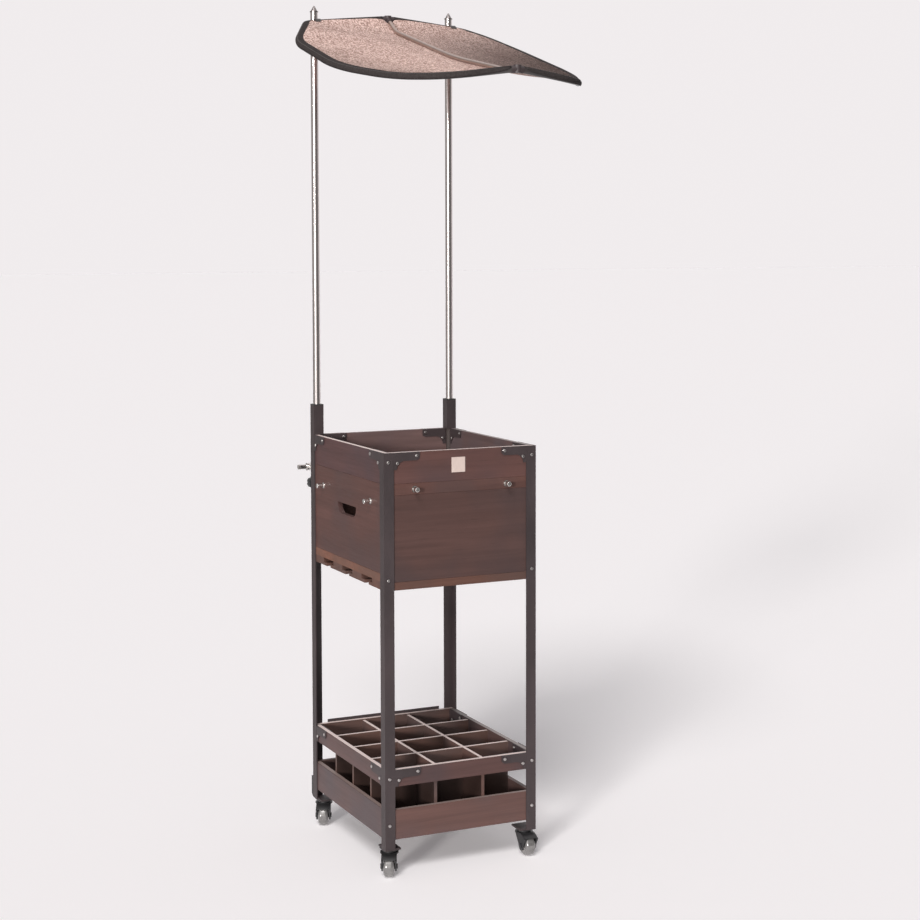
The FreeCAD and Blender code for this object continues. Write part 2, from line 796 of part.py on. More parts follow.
# Canopy clamps
def canopy_clamp(side):
    """Collar on the pole with a ring in front of it, on the tilt axis."""
    collar_middle = tilt_height - collar_drop
    pole_axis = Vector(side * pole_x, pole_y, collar_middle)
    ring_axis = Vector(side * pole_x, tilt_y, tilt_height)
    half_collar = up * (collar_height / 2)
    half_ring = Vector(ring_length / 2, 0, 0)
    collar = rod(collar_radius, pole_axis - half_collar, pole_axis + half_collar)
    ring = rod(ring_radius, ring_axis - half_ring, ring_axis + half_ring)
    web = block((ring_axis.x - half_ring.x, ring_axis.x + half_ring.x), (tilt_y, pole_y),
                (collar_middle - clamp_web_height / 2, collar_middle + clamp_web_height / 2))
    pole_hole = rod(pole_radius + running_clearance, pole_axis - half_collar * 2, pole_axis + half_collar * 2)
    ring_hole = rod(trunnion_radius + running_clearance, ring_axis - half_ring * 2, ring_axis + half_ring * 2)
    return fuse([collar, ring, web]).cut([pole_hole, ring_hole])


nodes["canopy_clamps"] = group([canopy_clamp(side) for side in sides.values()])


# Canopy frame
def bent_path(points, radii):
    """Wire of straight runs joined by tangent arcs at the inner points."""
    edges = []
    start = points[0]
    for before, corner, after, radius in zip(points, points[1:], points[2:], radii):
        back = (before - corner).normalize()
        ahead = (after - corner).normalize()
        half_angle = back.getAngle(ahead) / 2
        tangent = radius / math.tan(half_angle)
        bisector = (back + ahead).normalize()
        to_arc = radius / math.sin(half_angle) - radius
        arc_start = corner + back * tangent
        arc_end = corner + ahead * tangent
        edges.append(Part.LineSegment(start, arc_start).toShape())
        edges.append(Part.Arc(arc_start, corner + bisector * to_arc, arc_end).toShape())
        start = arc_end
    edges.append(Part.LineSegment(start, points[-1]).toShape())
    return Part.Wire(edges)


def swept(path, radius, direction):
    """Round bar along a path."""
    start = path.OrderedVertexes[0].Point
    section = Part.Wire(Part.makeCircle(radius, start, direction))
    return path.makePipeShell([section], True, False)


def tube(points, radii, radius, wall):
    path = bent_path(points, radii)
    direction = points[1] - points[0]
    return swept(path, radius, direction).cut(swept(path, radius - wall, direction))


def canopy_point(half_width_here, reach, drop):
    return Vector(half_width_here, tilt_y - reach, tilt_height - drop)


def toward(start, end, distance):
    return start + (end - start).normalize() * distance


def bend_radii(points, shares):
    """Radius of the bend at each inner point, from its share of the shorter run beside it."""
    radii = []
    for before, corner, after, share in zip(points, points[1:], points[2:], shares):
        back = before - corner
        ahead = after - corner
        tangent = share * min(back.Length, ahead.Length)
        radii.append(tangent * math.tan(back.getAngle(ahead) / 2))
    return radii


rear_middle = canopy_point(0, pole_x * rear_run_sweep, -pole_x * rear_run_fall)
past_pole = rear_corner_half_width - pole_x
rear_corner = canopy_point(rear_corner_half_width, -past_pole * rear_run_sweep, past_pole * rear_run_fall)
front_tip = canopy_point(0, hoop_tip_reach, hoop_tip_drop)
stretch = hoop_tip_reach / hoop_drawn_reach
hoop_points = [rear_middle, rear_corner]
hoop_points += [canopy_point(width, reach * stretch, drop) for width, reach, drop in hoop_corners]
hoop_points.append(front_tip)
hoop_bends = bend_radii(hoop_points, hoop_bend_shares)
rib_points = [rear_middle]
rib_points += [canopy_point(0, reach * stretch, drop) for reach, drop in rib_corners]
rib_points.append(front_tip)
rib_bends = bend_radii(rib_points, rib_bend_shares)


def seated(points, seat):
    """The same route with its ends drawn back into the end joints."""
    first = toward(points[0], points[1], seat)
    last = toward(points[-1], points[-2], seat)
    return [first] + points[1:-1] + [last]


half_hoop = tube(seated(hoop_points, hoop_seat), hoop_bends, hoop_radius, hoop_wall)
nodes["hoop_right"] = half_hoop
nodes["hoop_left"] = mirrored(half_hoop)
nodes["canopy_rib"] = tube(seated(rib_points, rib_seat), rib_bends, rib_radius, rib_wall)


def end_joint(center, hoop_next, rib_next):
    """Round hub with a socket for each half of the hoop and one for the rib."""
    hoop_run = (hoop_next - center).normalize()
    runs = [
        (hoop_run, joint_socket_radius, hoop_radius, hoop_seat),
        (Vector(-hoop_run.x, hoop_run.y, hoop_run.z), joint_socket_radius, hoop_radius, hoop_seat),
        ((rib_next - center).normalize(), rib_socket_radius, rib_radius, rib_seat),
    ]
    pieces = [rod(joint_radius, center - up * joint_radius, center + up * joint_radius)]
    holes = []
    for run, outer, inner, seat in runs:
        mouth = center + run * joint_socket_length
        pieces.append(rod(outer, center, mouth))
        holes.append(rod(inner + running_clearance, center + run * seat, mouth + run * seat))
    return fuse(pieces).cut(holes)


def trunnion(side):
    """Sleeve on the hoop, round about the tilt axis."""
    center = Vector(side * pole_x, tilt_y, tilt_height)
    half = Vector(trunnion_length / 2, 0, 0)
    run = rear_corner - rear_middle
    run = Vector(side * run.x, run.y, run.z).normalize() * trunnion_length
    return rod(trunnion_radius, center - half, center + half).cut(
        rod(hoop_radius + running_clearance, center - run, center + run))


nodes["hoop_fittings"] = group([
    end_joint(rear_middle, rear_corner, rib_points[1]),
    end_joint(front_tip, hoop_points[-2], rib_points[-2]),
    trunnion(-1),
    trunnion(1),
])


# Canopy fabric: a thin sheet that hangs under the rib and runs out to the hoop
def half_fabric():
    hoop_path = bent_path(hoop_points, hoop_bends)
    hoop_line = hoop_path.discretize(Number=fabric_stations)
    rib_line = bent_path(rib_points, rib_bends).discretize(Number=fabric_stations)
    clearance = hoop_radius + fabric_hoop_gap
    sections = []
    for index in range(fabric_end_stations, fabric_stations - fabric_end_stations):
        rib_run = (rib_line[index + 1] - rib_line[index - 1]).normalize()
        level = Vector(rib_run.x, rib_run.y, 0).Length
        ridge = rib_line[index] - up * ((rib_radius + fabric_rib_gap) / level)
        across = (hoop_line[index] - ridge).normalize()
        edge = hoop_line[index] - across * clearance
        while Part.Vertex(edge).distToShape(hoop_path)[0] < clearance:
            edge = edge - across * fabric_edge_step
        skin = up * fabric_thickness
        corners_here = [ridge - skin, edge - skin / 2, edge + skin / 2, ridge]
        sections.append(Part.makePolygon(corners_here + corners_here[:1]))
    sheet = Part.makeLoft(sections, True, True)
    notch_half = Vector(max(ring_length, trunnion_length) / 2 + fabric_notch_clearance, 0, 0)
    ring_axis = Vector(pole_x, tilt_y, tilt_height)
    notch = rod(ring_radius + fabric_notch_clearance, ring_axis - notch_half, ring_axis + notch_half)
    return sheet.cut(notch)


right_fabric = half_fabric()
nodes["canopy_fabric"] = fuse([right_fabric, mirrored(right_fabric)])

# Origin on the floor, under the middle of the whole object
extent = group(list(nodes.values())).optimalBoundingBox(False, False)
origin = Vector((extent.XMin + extent.XMax) / 2, (extent.YMin + extent.YMax) / 2, extent.ZMin)

os.makedirs("parts", exist_ok=True)
for name, shape in nodes.items():
    placed(shape, origin * -1).exportStep("parts/" + name + ".step")
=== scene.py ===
import math

import bmesh
import bpy
from mathutils import Matrix, Vector


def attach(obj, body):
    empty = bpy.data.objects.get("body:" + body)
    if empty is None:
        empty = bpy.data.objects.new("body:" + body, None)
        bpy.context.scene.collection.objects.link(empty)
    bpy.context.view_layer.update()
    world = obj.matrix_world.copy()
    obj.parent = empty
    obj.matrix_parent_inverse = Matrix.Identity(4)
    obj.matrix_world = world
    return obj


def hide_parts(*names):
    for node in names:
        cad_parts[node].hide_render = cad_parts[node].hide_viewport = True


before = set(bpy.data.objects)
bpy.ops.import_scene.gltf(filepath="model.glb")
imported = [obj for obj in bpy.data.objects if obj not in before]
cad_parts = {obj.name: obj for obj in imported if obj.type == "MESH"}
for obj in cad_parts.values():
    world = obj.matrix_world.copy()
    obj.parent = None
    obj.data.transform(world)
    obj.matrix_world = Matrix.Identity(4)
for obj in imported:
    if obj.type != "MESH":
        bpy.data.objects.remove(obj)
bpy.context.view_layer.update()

# Sizes of the cart that the dressed pieces repeat, in metres
CART_MIDDLE_Y = 0.1255          # the posts' centre, behind the origin
POLE_X, POLE_Y = 0.186, 0.207   # a pole, from the posts' centre
TILT_HEIGHT = 2.0457
TILT = Vector((0.0, POLE_Y + CART_MIDDLE_Y, TILT_HEIGHT))
HOOP_RADIUS = 0.007
RIB_RADIUS = 0.005
UP = Vector((0.0, 0.0, 1.0))


# Finishes

class Tone:
    """A value in a finish's node tree, with plain arithmetic."""

    def __init__(self, finish, socket):
        self.finish = finish
        self.socket = socket

    def _math(self, operation, first, second):
        return self.finish.tone("ShaderNodeMath", {"operation": operation}, {0: first, 1: second})

    def __add__(self, other):
        return self._math("ADD", self, other)

    def __radd__(self, other):
        return self._math("ADD", other, self)

    def __sub__(self, other):
        return self._math("SUBTRACT", self, other)

    def __rsub__(self, other):
        return self._math("SUBTRACT", other, self)

    def __mul__(self, other):
        return self._math("MULTIPLY", self, other)


class Finish:
    """A material with one Principled shader; node() adds any node to it."""

    def __init__(self, name):
        self.material = bpy.data.materials.new(name)
        self.material.use_nodes = True
        self.tree = self.material.node_tree
        self.tree.nodes.clear()
        self.shader = self.node("ShaderNodeBsdfPrincipled", {}, {})
        output = self.node("ShaderNodeOutputMaterial", {}, {})
        self.tree.links.new(self.shader.outputs[0], output.inputs["Surface"])

    def node(self, kind, settings, sockets):
        """Adds a node: its settings first, then the values or links of its sockets."""
        node = self.tree.nodes.new(kind)
        for key, value in settings.items():
            if key == "stops":
                ramp = node.color_ramp
                while len(ramp.elements) < len(value):
                    ramp.elements.new(0.5)
                for element, (place, tint) in zip(ramp.elements, value):
                    element.position = place
                    element.color = colour(*tint)
            else:
                setattr(node, key, value)
        self.feed(node, sockets)
        return node

    def feed(self, node, sockets):
        """Gives each socket its link or its plain value."""
        for key, value in sockets.items():
            if isinstance(value, Tone):
                self.tree.links.new(value.socket, node.inputs[key])
            else:
                node.inputs[key].default_value = value

    def tone(self, kind, settings, sockets, output=0):
        """Adds a node and gives one of its outputs."""
        return Tone(self, self.node(kind, settings, sockets).outputs[output])

    def finish(self, **sockets):
        """Feeds the shader; underscores stand for the spaces of its socket names."""
        self.feed(self.shader, {key.replace("_", " "): value for key, value in sockets.items()})
        return self.material

    def place(self, scale, shift=(0.0, 0.0, 0.0), turn=(0.0, 0.0, 0.0)):
        """Object coordinates, scaled, turned and shifted."""
        source = self.tone("ShaderNodeTexCoord", {}, {}, "Object")
        return self.tone("ShaderNodeMapping", {}, {"Vector": source, "Scale": scale, "Location": shift,
                                                   "Rotation": turn})

    def cloud(self, place, detail, rough, warp=0.0):
        """Soft noise, centred on a half."""
        return self.tone("ShaderNodeTexNoise", {}, {"Vector": place, "Scale": 1.0, "Detail": detail,
                                                    "Roughness": rough, "Distortion": warp})

    def ramp(self, value, stops):
        """A colour picked by a value from (place, colour) stops."""
        return self.tone("ShaderNodeValToRGB", {"stops": stops}, {"Fac": value})

    def between(self, value, low, high):
        """0 at low, 1 at high, smooth between them."""
        return self.tone("ShaderNodeMapRange", {"interpolation_type": "SMOOTHSTEP"},
                         {"Value": value, "From Min": low, "From Max": high})

    def mix(self, amount, first, second):
        """A blend of two colours, each a colour or a link."""
        return self.tone("ShaderNodeMix", {"data_type": "RGBA"}, {0: amount, 6: first, 7: second}, 2)

    def bump(self, height, strength, distance, normal=None):
        """Raised relief, on the given normal or the mesh's own."""
        sockets = {"Height": height, "Strength": strength, "Distance": distance}
        if normal:
            sockets["Normal"] = normal
        return self.tone("ShaderNodeBump", {}, sockets)

    def part(self, vector, axis):
        return self.tone("ShaderNodeSeparateXYZ", {}, {"Vector": vector}, axis)

    def normal(self):
        return self.tone("ShaderNodeNewGeometry", {}, {}, "Normal")

    def spot(self, axis):
        """Where a point of the object lies along an axis, in metres."""
        return self.part(self.place(even(1.0)), axis)

    def facing(self, axis):
        """How far a face looks along an axis."""
        return self.part(self.normal(), axis)


def colour(red, green, blue):
    return (red, green, blue, 1.0)


def even(scale):
    return (scale, scale, scale)


def scaled(values, amount):
    return tuple(value * amount for value in values)


GRAIN_ALONG, GRAIN_ACROSS = 2.6, 62.0
GRAIN = {
    "x": (GRAIN_ALONG, GRAIN_ACROSS, GRAIN_ACROSS),
    "y": (GRAIN_ACROSS, GRAIN_ALONG, GRAIN_ACROSS),
}
SEED_STEP = (1.7, 2.9, 4.1)          # how far one board's grain lies from the next one's
BROAD_GRAIN, FINE_GRAIN = 0.22, 5.0  # scale of the broad figure and of the pores beside the streaks
DARK_STREAK, PALE_STREAK = 0.66, 1.36
PORE_SHADE, PORE_SHARE = 0.45, 0.40
FADED_CAST, FADED_SHARE = (0.74, 0.96, 1.12), 0.7
PAINTED_SHADE_FROM, PAINTED_SHADE_TO = 0.245, 0.205    # heights between which painted shade darkens the dividers' lower half
PAINTED_SHADE_TINT, PAINTED_SHADE_SHARE = 0.12, 0.78


def stained_wood(name, along, seed, base, top, painted_low_shade):
    """Stained board: soft streaks and pores along the grain, satin lacquer, and a painted highlight in the
    colour top on its upper edge where top is given. Where the last argument is set, painted shade darkens
    the board towards its lower half, but not on its ends."""
    look = Finish(name)
    scale = GRAIN[along]
    shift = scaled(SEED_STEP, seed)
    streaks = look.cloud(look.place(scale, shift), detail=7.0, rough=0.62, warp=0.6)
    broad = look.cloud(look.place(scaled(scale, BROAD_GRAIN), shift), detail=3.0, rough=0.5, warp=0.3)
    fine = look.cloud(look.place(scaled(scale, FINE_GRAIN), shift), detail=2.0, rough=0.7)
    pores = look.between(fine, 0.62, 0.78)
    tint = look.ramp(streaks * 0.5 + broad * 0.5,
                     [(0.30, scaled(base, DARK_STREAK)), (0.50, base), (0.70, scaled(base, PALE_STREAK))])
    tint = look.mix(pores * PORE_SHARE, tint, colour(*scaled(base, PORE_SHADE)))
    faded = look.between(look.cloud(look.place(even(5.0), shift), detail=2.0, rough=0.5), 0.42, 0.66)
    grey = [value * cast for value, cast in zip(base, FADED_CAST)]
    tint = look.mix(faded * FADED_SHARE, tint, colour(*grey))
    # painted shade: the dividers darken towards their lower half, deep in the cells, but not on their ends
    if painted_low_shade:
        end = look.facing(along.upper())
        low = look.between(look.spot("Z"), PAINTED_SHADE_FROM, PAINTED_SHADE_TO)
        tint = look.mix(low * (1.0 - end * end) * PAINTED_SHADE_SHARE, tint, colour(*scaled(base, PAINTED_SHADE_TINT)))
    # painted highlight: the upper edge lightens towards the colour top, in patches
    if top:
        edge = look.between(look.facing("Z"), 0.80, 0.98)
        top_highlight_patches = 0.86 + look.cloud(look.place(even(55.0), shift), detail=4.0, rough=0.7) * 0.24
        tint = look.mix(edge * top_highlight_patches, tint, colour(*top))
    relief = streaks * 0.5 + fine * 0.3 - pores * 0.6
    return look.finish(Base_Color=tint, Roughness=0.40 + fine * 0.16, Specular_IOR_Level=0.34,
                       Normal=look.bump(relief, strength=0.20, distance=0.0005))


def black_steel(name, base, rough=0.46):
    """Charcoal powder coat with an orange-peel skin and light scuffs."""
    look = Finish(name)
    peel = look.cloud(look.place(even(900.0)), detail=2.0, rough=0.5)
    patch = look.cloud(look.place((9.0, 9.0, 5.0)), detail=4.0, rough=0.6)
    scratches = look.cloud(look.place((60.0, 60.0, 14.0)), detail=5.0, rough=0.75, warp=1.2)
    scuff = look.between(scratches, 0.66, 0.80)
    tint = look.ramp(patch, [(0.35, scaled(base, 0.78)), (0.65, scaled(base, 1.20))])
    tint = look.mix(scuff * 0.30, tint, colour(*[value * 2.4 + 0.01 for value in base]))
    return look.finish(Base_Color=tint, Roughness=rough + peel * 0.14 - scuff * 0.10,
                       Normal=look.bump(peel, strength=0.20, distance=0.0002))


def smudged(look, base):
    """Faint smudges, and a metal's colour under them."""
    smudge = look.cloud(look.place((30.0, 30.0, 12.0)), detail=4.0, rough=0.6)
    return smudge, look.ramp(smudge, [(0.35, scaled(base, 0.90)), (0.65, base)])


def bright_metal(name, base, rough, brush):
    """Polished or satin metal with faint brush lines and smudges."""
    look = Finish(name)
    lines = look.cloud(look.place(even(brush)), detail=3.0, rough=0.6)
    smudge, tint = smudged(look, base)
    return look.finish(Base_Color=tint, Metallic=1.0, Roughness=rough + lines * 0.10 + smudge * 0.08,
                       Normal=look.bump(lines, strength=0.06, distance=0.0002))


FOOT_FROM, FOOT_TO = 1.012, 1.006    # heights between which painted shade turns a pole black, at the rim of the box
PAINTED_FOOT_SHADE = (0.055, 0.040, 0.037)


def pole_finish(name, base, rough):
    """Satin tube, brushed along its length, with painted shade blackening its hidden foot below the rim of
    the box.
    """
    look = Finish(name)
    lines = look.cloud(look.place((700.0, 700.0, 9.0)), detail=3.0, rough=0.6)
    smudge, tint = smudged(look, base)
    # painted shade: below the rim the pole is black, rough and not metallic
    shaded_foot = look.between(look.spot("Z"), FOOT_FROM, FOOT_TO)
    tint = look.mix(shaded_foot, tint, colour(*PAINTED_FOOT_SHADE))
    return look.finish(Base_Color=tint, Metallic=1.0 - shaded_foot,
                       Roughness=rough + lines * 0.06 + smudge * 0.06 + shaded_foot * 0.65,
                       Normal=look.bump(lines, strength=0.005, distance=0.0001))


def moulded(name, base, rough, grain):
    """Moulded plastic or rubber with a fine grain."""
    look = Finish(name)
    fine = look.cloud(look.place(even(grain)), detail=3.0, rough=0.6)
    patch = look.cloud(look.place(even(24.0)), detail=3.0, rough=0.5)
    tint = look.ramp(patch, [(0.35, scaled(base, 0.82)), (0.65, scaled(base, 1.12))])
    return look.finish(Base_Color=tint, Roughness=rough + fine * 0.12,
                       Normal=look.bump(fine, strength=0.18, distance=0.0002))


def blank_plate(name):
    """Ivory enamel plate, bare."""
    look = Finish(name)
    mottle = look.cloud(look.place(even(120.0)), detail=4.0, rough=0.6)
    tint = look.ramp(mottle, [(0.3, (0.55, 0.445, 0.400)), (0.7, (0.59, 0.480, 0.435))])
    return look.finish(Base_Color=tint, Roughness=0.38 + mottle * 0.12, Coat_Weight=0.2,
                       Normal=look.bump(mottle, strength=0.08, distance=0.0002))


THREAD_PITCH = 0.0032
THREAD_TINTS = [(0.22, (0.235, 0.148, 0.124)), (0.48, (0.550, 0.382, 0.336)), (0.74, (0.88, 0.68, 0.62))]
THREAD_GAP = (0.09, 0.055, 0.045)
TAPE_TINTS = [(0.3, (0.026, 0.022, 0.0216)), (0.7, (0.056, 0.048, 0.047))]
BINDING = 0.0015                # how far the dark tape comes over the crest of the hoop at its ends
BINDING_BLUR = 0.0005
TAPE_SIDE = 0.0110              # how much farther the tape comes along the hoop's sides
NAP_LEAN = 17.0                 # how far the cloth's nap is brushed outwards towards the front


def woven_canopy(name):
    """Heathered basket weave on the sheet's own UV map, with its nap brushed outwards and a dark binding
    along the hoop."""
    look = Finish(name)
    uv = look.tone("ShaderNodeUVMap", {"uv_map": "Weave"}, {})
    threads = look.tone("ShaderNodeVectorMath", {"operation": "SCALE"},
                        {"Vector": uv, "Scale": 1.0 / THREAD_PITCH})
    over = look.tone("ShaderNodeTexChecker", {}, {"Vector": threads, "Scale": 1.0}, "Fac")
    across, along = (look.tone("ShaderNodeMath", {"operation": "PINGPONG"},
                               {0: look.part(threads, axis), 1: 0.5}) for axis in ("X", "Y"))
    round_thread = over * across + (1.0 - over) * along
    cell = look.tone("ShaderNodeVectorMath", {"operation": "FLOOR"}, {0: threads})
    heather = look.tone("ShaderNodeTexWhiteNoise", {"noise_dimensions": "3D"}, {"Vector": cell}, "Value")
    drift = look.cloud(look.place(even(14.0)), detail=4.0, rough=0.6)
    slub = look.cloud(look.place((230.0, 34.0, 34.0), turn=(0.0, 0.0, 0.5)), detail=2.0, rough=0.6)
    tint = look.ramp(heather * 0.42 + drift * 0.18 + slub * 0.40, THREAD_TINTS)
    tint = look.mix(look.between(round_thread, 0.20, 0.02) * 0.75, tint, colour(*THREAD_GAP))
    edge = look.tone("ShaderNodeAttribute", {"attribute_name": "from_hoop"}, {}, "Fac")
    binding = look.between(edge, BINDING + BINDING_BLUR, BINDING - BINDING_BLUR)
    tape = look.ramp(look.cloud(look.place(even(260.0)), detail=3.0, rough=0.7), TAPE_TINTS)
    tint = look.mix(binding, tint, tape)
    lean = look.spot("X") * (TILT.y - look.spot("Y")) * NAP_LEAN * (1.0 - binding)
    sideways = look.tone("ShaderNodeCombineXYZ", {}, {"X": lean})
    brushed = look.tone("ShaderNodeVectorMath", {"operation": "ADD"}, {0: look.normal(), 1: sideways})
    brushed = look.tone("ShaderNodeVectorMath", {"operation": "NORMALIZE"}, {0: brushed})
    return look.finish(Base_Color=tint, Roughness=0.75 - round_thread * 0.2, Specular_IOR_Level=0.03,
                       Normal=look.bump(round_thread, strength=0.5, distance=0.0008, normal=brushed))


# Each board's grain direction, stain and the colour of the painted highlight on its upper edge; the
# highlight is dimmer on the right-hand boards and the tray, which lie in shade
PAINTED_TOP_HIGHLIGHT = (0.84, 0.70, 0.66)
PAINTED_DIVIDER_HIGHLIGHT = (0.82, 0.68, 0.64)
PAINTED_DIM_TOP_HIGHLIGHT = (0.30, 0.26, 0.25)
PAINTED_DIM_TRAY_HIGHLIGHT = (0.28, 0.21, 0.19)
WOODS = {
    "plank_front": ("x", (0.095, 0.045, 0.039), PAINTED_TOP_HIGHLIGHT),
    "plank_left": ("y", (0.079, 0.037, 0.036), PAINTED_TOP_HIGHLIGHT),
    # plank_right and plank_rear get lighter stains than the front and left boards: painted light on the
    # box's inner walls
    "plank_right": ("y", (0.125, 0.076, 0.071), PAINTED_DIM_TOP_HIGHLIGHT),
    "plank_rear": ("x", (0.143, 0.088, 0.083), None),
    "peg_rail_front": ("x", (0.098, 0.045, 0.036), None),
    "panel_front": ("x", (0.070, 0.036, 0.031), None),
    "panel_left": ("y", (0.083, 0.037, 0.031), None),
    "panel_right": ("y", (0.080, 0.045, 0.039), None),
    "panel_rear": ("x", (0.080, 0.045, 0.039), None),
    "box_floor": ("x", (0.160, 0.066, 0.042), None),
    "stemware_rails": ("x", (0.105, 0.049, 0.036), None),
    "rack_rail_front": ("x", (0.080, 0.041, 0.037), PAINTED_TOP_HIGHLIGHT),
    "rack_rail_left": ("y", (0.084, 0.045, 0.042), PAINTED_TOP_HIGHLIGHT),
    "rack_rail_right": ("y", (0.084, 0.049, 0.044), PAINTED_DIM_TOP_HIGHLIGHT),
    "rack_rail_rear": ("x", (0.092, 0.054, 0.046), PAINTED_TOP_HIGHLIGHT),
    "tray_front": ("x", (0.116, 0.060, 0.051), PAINTED_DIM_TRAY_HIGHLIGHT),
    "tray_left": ("y", (0.088, 0.051, 0.048), PAINTED_DIM_TRAY_HIGHLIGHT),
    "tray_right": ("y", (0.080, 0.047, 0.042), None),
    "tray_rear": ("x", (0.080, 0.047, 0.042), None),
    "tray_floor": ("y", (0.055, 0.033, 0.029), None),
    "divider_long_left": ("y", (0.105, 0.058, 0.048), PAINTED_DIVIDER_HIGHLIGHT),
    "divider_long_right": ("y", (0.105, 0.058, 0.048), PAINTED_DIVIDER_HIGHLIGHT),
    "divider_cross_front": ("x", (0.105, 0.058, 0.047), PAINTED_DIVIDER_HIGHLIGHT),
    "divider_cross_middle": ("x", (0.105, 0.058, 0.047), PAINTED_DIVIDER_HIGHLIGHT),
    "divider_cross_rear": ("x", (0.105, 0.058, 0.047), PAINTED_DIVIDER_HIGHLIGHT),
}
COARSE_BRUSH, FINE_BRUSH = 40.0, 300.0
black_frame = black_steel("black_frame", (0.039, 0.0275, 0.0290))
black_caster = black_steel("black_caster", (0.018, 0.0176, 0.0186), 0.32)
dark_tube = black_steel("dark_tube", (0.050, 0.044, 0.043), 0.28)
chrome = bright_metal("chrome", (0.80, 0.77, 0.75), 0.11, COARSE_BRUSH)
rib_steel = bright_metal("rib_steel", (0.52, 0.42, 0.375), 0.26, FINE_BRUSH)
finial_steel = bright_metal("finial_steel", (0.27, 0.245, 0.24), 0.20, FINE_BRUSH)
pole_steel = pole_finish("pole_steel", (0.66, 0.605, 0.595), 0.13)
bolt_steel = bright_metal("bolt_steel", (0.52, 0.49, 0.48), 0.20, FINE_BRUSH)
black_plastic = moulded("black_plastic", (0.030, 0.030, 0.031), 0.40, 700.0)
black_rubber = moulded("black_rubber", (0.040, 0.038, 0.039), 0.62, 500.0)
ivory_plate = blank_plate("ivory_plate")

# The other nodes' finishes, by how their names start; the first that fits is taken
PLAIN = {
    "post_": black_frame, "corner_plates": black_frame, "rack_strap": black_frame,
    "caster_plates": black_caster, "caster_fork": black_caster, "caster_wheel": black_plastic,
    "socket_bushes": black_plastic, "clamp_knob": black_plastic, "bumpers": black_rubber,
    "hook_pegs": chrome, "handle_": chrome, "pole_finials": finial_steel, "canopy_rib": rib_steel,
    "canopy_clamps": dark_tube, "hoop_fittings": black_frame, "hoop_": dark_tube, "frame_bolts": bolt_steel,
    "pole_": pole_steel, "label_plate": ivory_plate, "canopy_fabric": dark_tube,
}


def dress_nodes():
    """Gives every node of the frame its finish; each board has its own grain."""
    for seed, (name, node) in enumerate(sorted(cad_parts.items())):
        if name in WOODS:
            along, base, top = WOODS[name]
            finish = stained_wood("wood_" + name, along, seed + 1.0, base, top, name.startswith("divider_"))
        else:
            finish = next(look for start, look in PLAIN.items() if name.startswith(start))
        node.data.materials.clear()
        node.data.materials.append(finish)


dress_nodes()


# Meshes

MERGE = 1e-6


def in_scene(name, data):
    thing = bpy.data.objects.new(name, data)
    bpy.context.scene.collection.objects.link(thing)
    return thing


def piece_from(name, points, faces, material, smooth=True):
    mesh = bpy.data.meshes.new(name)
    mesh.from_pydata([tuple(p) for p in points], [], faces)
    mesh.materials.append(material)
    for polygon in mesh.polygons:
        polygon.use_smooth = smooth
    return in_scene(name, mesh)


def outward(piece):
    """Merges doubles and turns every face outwards."""
    shell = bmesh.new()
    shell.from_mesh(piece.data)
    bmesh.ops.remove_doubles(shell, verts=shell.verts, dist=MERGE)
    bmesh.ops.recalc_face_normals(shell, faces=shell.faces)
    shell.to_mesh(piece.data)
    shell.free()


def turned(name, profile, sides, place, material):
    """Closed ring turned about its own Y axis from (radius, y) points, then put in place."""
    points = []
    faces = []
    count = len(profile)
    for side in range(sides):
        angle = 2.0 * math.pi * side / sides
        for radius, y in profile:
            points.append(place @ Vector((radius * math.cos(angle), y, radius * math.sin(angle))))
    for side in range(sides):
        here = side * count
        after = (side + 1) % sides * count
        for k in range(count):
            k_next = (k + 1) % count
            faces.append((here + k, here + k_next, after + k_next, after + k))
    ring = piece_from(name, points, faces, material)
    outward(ring)
    return ring


def soft_corner(center, radius, start, end, steps):
    """Points of an arc in a profile, from one angle to another, in degrees."""
    arc = []
    for step in range(steps + 1):
        angle = math.radians(start + (end - start) * step / steps)
        arc.append((center[0] + radius * math.cos(angle), center[1] + radius * math.sin(angle)))
    return arc


# Caster wheels

WHEEL_RADIUS = 0.025
WHEEL_HALF_WIDTH = 0.013
SHOULDER = 0.0080               # radius of the tyre's rounded edges
SHOULDER_STEPS = 8
TYRE_GAP = 0.0001               # between the tyre and the hub
AXLE_RADIUS = 0.0036
BOSS_RADIUS, BOSS_FOOT = 0.0062, 0.0070
BOSS_CHAMFER = 0.0008
DISH_INNER, DISH_OUTER = 0.0078, 0.0118
DISH_DEPTH = 0.0030
RIM_INNER, RIM_DROP = 0.0128, 0.0002
HUB_RADIUS = 0.015
HUB_HALF_WIDTH = 0.0139
TYRE_SIDES, HUB_SIDES = 72, 48
# One face of the hub as (radius, y) from the axle out: chamfered boss, dish and rim
HUB_FACE = [
    (AXLE_RADIUS, -HUB_HALF_WIDTH),
    (BOSS_RADIUS, -HUB_HALF_WIDTH),
    (BOSS_FOOT, -HUB_HALF_WIDTH + BOSS_CHAMFER),
    (DISH_INNER, -WHEEL_HALF_WIDTH + DISH_DEPTH),
    (DISH_OUTER, -WHEEL_HALF_WIDTH + DISH_DEPTH),
    (RIM_INNER, -WHEEL_HALF_WIDTH + RIM_DROP),
    (HUB_RADIUS, -WHEEL_HALF_WIDTH),
]
TRAIL = 0.020
KINGPIN_X, KINGPIN_Y = 0.179, 0.218    # from the posts' centre
# Each caster's kingpin and the way it trails, in degrees
CASTERS = {
    "front_left": (-KINGPIN_X, -KINGPIN_Y, 245.0),
    "front_right": (KINGPIN_X, -KINGPIN_Y, 268.0),
    "rear_left": (-KINGPIN_X, KINGPIN_Y, 245.0),
    "rear_right": (KINGPIN_X, KINGPIN_Y, 252.0),
}


